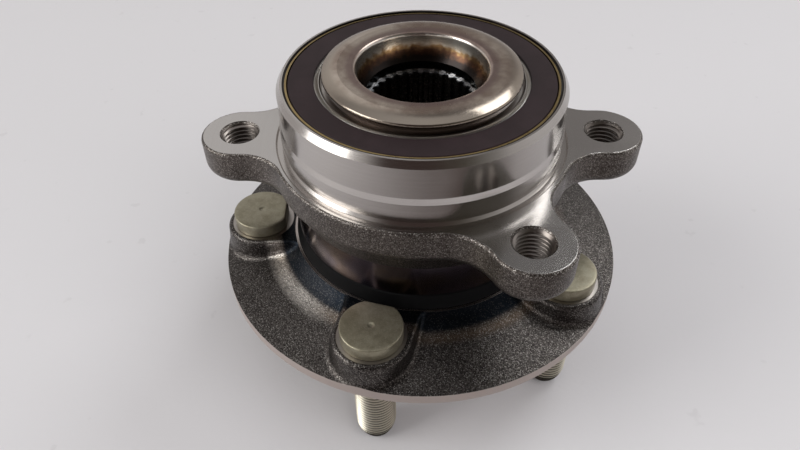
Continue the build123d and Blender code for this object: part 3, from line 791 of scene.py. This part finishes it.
def finishPiece(mesh, name, circle, angle, finish, body):
    # the mesh is made about its own axis, then set on its circle
    bmesh.ops.recalc_face_normals(mesh, faces=mesh.faces)
    around = radians(angle)
    spot = Vector(atAngle(circle, around, 0)) * mm
    spread = Matrix.Translation(spot) @ Matrix.Rotation(around, 4, "Z") @ Matrix.Scale(mm, 4)
    bmesh.ops.transform(mesh, matrix=spread, verts=mesh.verts)
    data = bpy.data.meshes.new(name)
    mesh.to_mesh(data)
    mesh.free()
    data.polygons.foreach_set("use_smooth", [True] * len(data.polygons))
    data.set_sharp_from_angle(angle=radians(threadForm["sharpAngle"]))
    data.materials.append(finish)
    piece = bpy.data.objects.new(name, data)
    bpy.context.scene.collection.objects.link(piece)
    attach(piece, body)
    return piece


# wheel studs with their rolled thread, knurl and flatted head

studShape = {
    "sides": 96,
    "padHeight": 13.3,
    "headRadius": 9.95,
    "headHeight": 4.8,
    "flat": 8.8,
    "headRound": 0.5,
    "roundSteps": 6,
    "centreMark": ((0.3, 0.35), (0.22, 0.7), (0.03, 1.0), (0.0, 1.3)),  # depth and radius
    "faceRings": (0.35, 0.65, 0.88),  # shares of the head's radius
    "underHead": ((0.3, 0.0), (0.03, 0.25)),  # height over the pad, and how far in
    "knurlRadius": 7.3,
    "knurlDepth": 0.22,
    "knurlEnd": 3.0,
    "knurlTaper": 0.9,
    "neckRadius": 6.4,
    "neckLap": 0.3,  # of the neck over the thread
    "threadTop": 0.5,
    "threadRadius": 7.0,
    "threadDepth": 0.85,
    "runout": (5.98, 1.15),  # radius where the thread starts, and its slope
    "tipFade": 3.0,
    "pitch": 1.5,
    "tip": -39.3,
    "nose": ((7.0, 7.5), (6.25, 3.4), (4.5, 0.0)),  # radius, and distance from the tip
}


def noseCircle(points):
    # middle and radius of the circle through three points
    (ax, ay), (bx, by), (cx, cy) = points
    double = 2 * (ax * (by - cy) + bx * (cy - ay) + cx * (ay - by))
    aa, bb, cc = ax**2 + ay**2, bx**2 + by**2, cx**2 + cy**2
    middleX = (aa * (by - cy) + bb * (cy - ay) + cc * (ay - by)) / double
    middleY = (aa * (cx - bx) + bb * (ax - cx) + cc * (bx - ax)) / double
    return middleX, middleY, sqrt((ax - middleX) ** 2 + (ay - middleY) ** 2)


def makeStud(number, angle, look):
    mesh = bmesh.new()
    pad, edge = look["padHeight"], look["headRound"]
    top = pad + look["headHeight"]
    neckEnd = look["threadTop"] - look["neckLap"]
    rings = []

    def addRing(height, radiusAt):
        rings.append(ringOf(mesh, height, radiusAt, look["sides"]))

    def outline(inset, share=1.0):
        def radiusAt(around):
            facing = -cos(around)  # the flat faces the hub axis
            flat = (look["flat"] - inset) / facing if facing > 0.05 else look["headRadius"]
            return share * min(look["headRadius"] - inset, flat)
        return radiusAt

    def knurl(around):
        groove = int(round(around / (2 * pi) * look["sides"])) % 2
        return look["knurlRadius"] - look["knurlDepth"] * groove

    for drop, radius in look["centreMark"]:
        addRing(top - drop, lambda around, radius=radius: radius)
    for share in look["faceRings"]:
        addRing(top, outline(edge, share))
    for step in range(look["roundSteps"] + 1):
        lean = pi / 2 * step / look["roundSteps"]
        addRing(top - edge + edge * cos(lean), outline(edge - edge * sin(lean)))
    for above, inset in look["underHead"]:
        addRing(pad + above, outline(inset))
    addRing(pad + look["underHead"][-1][0], knurl)
    addRing(look["knurlEnd"], knurl)
    for height in (look["knurlEnd"] - look["knurlTaper"], neckEnd):
        addRing(height, lambda around: look["neckRadius"])
    for upper, lower in zip(rings, rings[1:]):
        bridge(mesh, upper, lower)
    cap(mesh, rings[0], top - look["centreMark"][0][0])
    cap(mesh, rings[-1], neckEnd)

    middleX, middleY, reach = noseCircle(look["nose"])

    def threadRadius(height, dip):
        above = height - look["tip"]
        envelope = look["threadRadius"]
        if above < look["nose"][0][1]:
            envelope = min(envelope, middleX + sqrt(max(0.0, reach**2 - (above - middleY) ** 2)))
        fade = min(1.0, max(0.0, above / look["tipFade"]))
        runout = look["runout"][0] + max(0.0, look["threadTop"] - height) * look["runout"][1]
        return min(envelope - dip * look["threadDepth"] * fade, runout)

    ends = (look["threadTop"], look["tip"])
    for ring, height in zip(helixSkin(mesh, *ends, look["pitch"], threadRadius), ends):
        cap(mesh, ring, height)
    stud = finishPiece(mesh, f"wheelStud{number}", studPlaces["circle"], angle,
                       studPlating, "hub")
    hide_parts("wheel_studs")


for number in range(studPlaces["count"]):
    makeStud(number + 1, studPlaces["firstAngle"] + 360 / studPlaces["count"] * number, studShape)
print("wheel studs made")


# tapped threads in the lugs, each a sleeve that fills its hole's wall

tappedShape = {
    "angles": (30.0, 150.0, 210.0, 330.0),
    "circle": 60.0,
    "face": 50.4,
    "floor": 37.6,
    "mouthRadius": 6.55,
    "rootRadius": 6.0,
    "crestRadius": 5.19,
    "seatRadius": 6.2,
    "seatLap": 0.2,
    "setBack": 0.05,  # behind the hole's own cones
    "pitch": 1.5,
}


def makeTappedThread(number, angle, look):
    mesh = bmesh.new()
    cone = look["mouthRadius"] - look["rootRadius"]
    top = look["face"] - cone + look["setBack"]
    bottom = look["floor"] + cone - look["setBack"]
    mouth = look["rootRadius"] + look["setBack"]

    def threadRadius(height, dip):
        radius = look["crestRadius"] + dip * (look["rootRadius"] - look["crestRadius"])
        return max(radius, mouth - (top - height), mouth - (height - bottom))

    def addSeat(ring, height):
        seat = []
        for vert in ring:
            reach = look["seatRadius"] / vert.co.xy.length
            seat.append(mesh.verts.new((vert.co.x * reach, vert.co.y * reach, height)))
        return seat

    upper, lower = helixSkin(mesh, top, bottom, look["pitch"], threadRadius, steps=10)
    seatTop = addSeat(upper, top - look["seatLap"])
    seatBottom = addSeat(lower, bottom + look["seatLap"])
    bridge(mesh, seatTop, upper)
    bridge(mesh, lower, seatBottom)
    bridge(mesh, seatBottom, seatTop)
    finishPiece(mesh, f"knuckleThread{number}", look["circle"], angle,
                threadSteel, "outer_ring")


for number, angle in enumerate(tappedShape["angles"], start=1):
    makeTappedThread(number, angle, tappedShape)
print("tapped threads made")


# painted board under the hub

floorLook = {
    "height": -39.3,
    "size": 3.0,
    "rough": 0.62,
    "paint": srgb(216, 214, 216),
    "cloud": srgb(190, 186, 186),
    "cloudShare": 0.1,
    "clouds": (9.0, 3.0),
    "dust": srgb(150, 146, 146),
    "dustShare": 0.12,
    "dustScale": 120.0,
    "dustEdge": (0.7, 0.78),
    "grain": (400.0, 3.0),
    "relief": 0.05,
    # painted shade on it that only reflections show, as in the turned faces, away from the hub:
    # place on the board in metres, where it ends and is full, share
    "shade": srgb(70, 54, 48),
    "shadeFrom": (0.115, 0.15),
    "shadeSpots": (((0.125, -0.115), 0.28, 0.0, 0.85), ((0.145, -0.078), 0.055, 0.02, 0.8),
                   ((0.162, -0.01), 0.04, 0.015, 0.4)),
}


def makeFloor(look):
    height = look["height"] * mm
    mesh = bmesh.new()
    bmesh.ops.create_grid(mesh, x_segments=2, y_segments=2, size=look["size"] / 2)
    bmesh.ops.translate(mesh, vec=(0, 0, height), verts=mesh.verts)
    data = bpy.data.meshes.new("studioFloor")
    mesh.to_mesh(data)
    mesh.free()
    floor = bpy.data.objects.new("studioFloor", data)
    bpy.context.scene.collection.objects.link(floor)
    material, tree, shader = newFinish("paintedBoard", Roughness=look["rough"])
    where = put(tree, "TexCoord").outputs["Object"]
    clouds = both(tree, noise(tree, where, *look["clouds"]), look["cloudShare"])
    colour = mixColour(tree, clouds, look["paint"], look["cloud"])
    dust = rise(tree, noise(tree, where, look["dustScale"]), *look["dustEdge"])
    colour = mixColour(tree, both(tree, dust, look["dustShare"]), colour, look["dust"])
    fromHub = vectorMath(tree, "LENGTH", "Value", first=where)
    # painted shade, seen only by reflected rays
    mirrored = put(tree, "LightPath").outputs["Is Glossy Ray"]
    mirrored = both(tree, rise(tree, fromHub, *look["shadeFrom"]), mirrored)
    for spot, reach, core, share in look["shadeSpots"]:
        away = vectorMath(tree, "DISTANCE", "Value", first=where, second=(*spot, height))
        shaded = both(tree, rise(tree, away, reach, core), mirrored, share)
        colour = mixColour(tree, shaded, colour, look["shade"])
    feed(tree, shader, colour, None, noise(tree, where, *look["grain"]), look["relief"])
    data.materials.append(material)


# a pale room: light walls, a greyer ceiling, dark and warm on the camera's side

roomLook = {
    "strength": 1.06,
    # colour by the sine of the elevation
    "walls": ((0.0, srgb(186, 182, 181)), (0.45, srgb(190, 187, 186)), (0.66, srgb(158, 156, 156)),
              (0.8, srgb(172, 172, 173)), (1.0, srgb(206, 206, 208))),
    # direction, angles where it is full and where it ends, share, colour
    "patches": (((0.42, -0.7, 0.58), 24, 44, 0.95, srgb(54, 38, 34)),
                ((-0.22, 0.62, 0.75), 8, 22, 0.8, srgb(70, 68, 68)),
                ((-0.62, 0.55, 0.56), 10, 26, 0.8, srgb(222, 220, 219)),
                ((0.6, 0.75, 0.25), 15, 40, 0.6, srgb(214, 213, 213)),
                ((-0.31, 0.85, 0.42), 9, 24, 0.8, srgb(130, 126, 124)),
                ((0.68, -0.18, 0.71), 16, 34, 0.85, srgb(82, 79, 70))),
}


def makeRoom(look):
    world = bpy.data.worlds.new("paleRoom")
    bpy.context.scene.world = world
    world.use_nodes = True
    tree = world.node_tree
    way = put(tree, "TexCoord").outputs["Generated"]
    colour = colours(tree, separate(tree, way)[2], *look["walls"])
    for direction, inner, outer, share, tint in look["patches"]:
        toward = vectorMath(tree, "DOT_PRODUCT", "Value", first=way, second=direction)
        patch = rise(tree, toward, cos(radians(outer)), cos(radians(inner)))
        colour = mixColour(tree, both(tree, patch, share), colour, tint)
    setInputs(tree, tree.nodes["Background"], {"Color": colour, "Strength": look["strength"]})


# soft lights, all aimed at the hub: place and size in metres, power in watts

lightLooks = {
    "windowLeft": {"spot": (-1.37, -1.4, 1.19), "size": (1.33, 1.54), "power": 26.0,
                   "colour": (1.0, 1.0, 0.98), "mirrored": True},
    "windowBack": {"spot": (0.47, 1.29, 1.57), "size": (0.9, 0.78), "power": 9.5,
                   "colour": (0.97, 0.99, 1.0), "mirrored": True},
    "fillRight": {"spot": (1.35, -0.35, 1.2), "size": (1.6, 1.6), "power": 16.0,
                  "colour": (1.0, 0.99, 1.0), "mirrored": False},
}
lightAim = (0, 0, 0.02)


def addSoftLight(name, look):
    data = bpy.data.lights.new(name, "AREA")
    data.shape = "RECTANGLE"
    data.size, data.size_y = look["size"]
    data.energy = look["power"]
    data.color = look["colour"]
    lamp = bpy.data.objects.new(name, data)
    bpy.context.scene.collection.objects.link(lamp)
    lamp.location = look["spot"]
    lamp.visible_glossy = look["mirrored"]
    lamp.rotation_euler = (Vector(lightAim) - Vector(look["spot"])).to_track_quat("-Z", "Y").to_euler()


cameraLook = {
    "spot": (87.557, -160.955, 179.758),
    "turn": (46.866, 0.526, 30.357),
    "lens": 30.3,
    "sensor": 36,
    "nearest": 0.01,
}


def makeCamera(look):
    data = bpy.data.cameras.new("camera")
    data.lens = look["lens"]
    data.sensor_width = look["sensor"]
    data.clip_start = look["nearest"]
    camera = bpy.data.objects.new("camera", data)
    bpy.context.scene.collection.objects.link(camera)
    camera.location = Vector(look["spot"]) * mm
    camera.rotation_euler = [radians(value) for value in look["turn"]]
    bpy.context.scene.camera = camera


makeFloor(floorLook)
makeRoom(roomLook)
for name, look in lightLooks.items():
    addSoftLight(name, look)
makeCamera(cameraLook)
bpy.context.scene.view_settings.view_transform = "Standard"
print("stage ready")
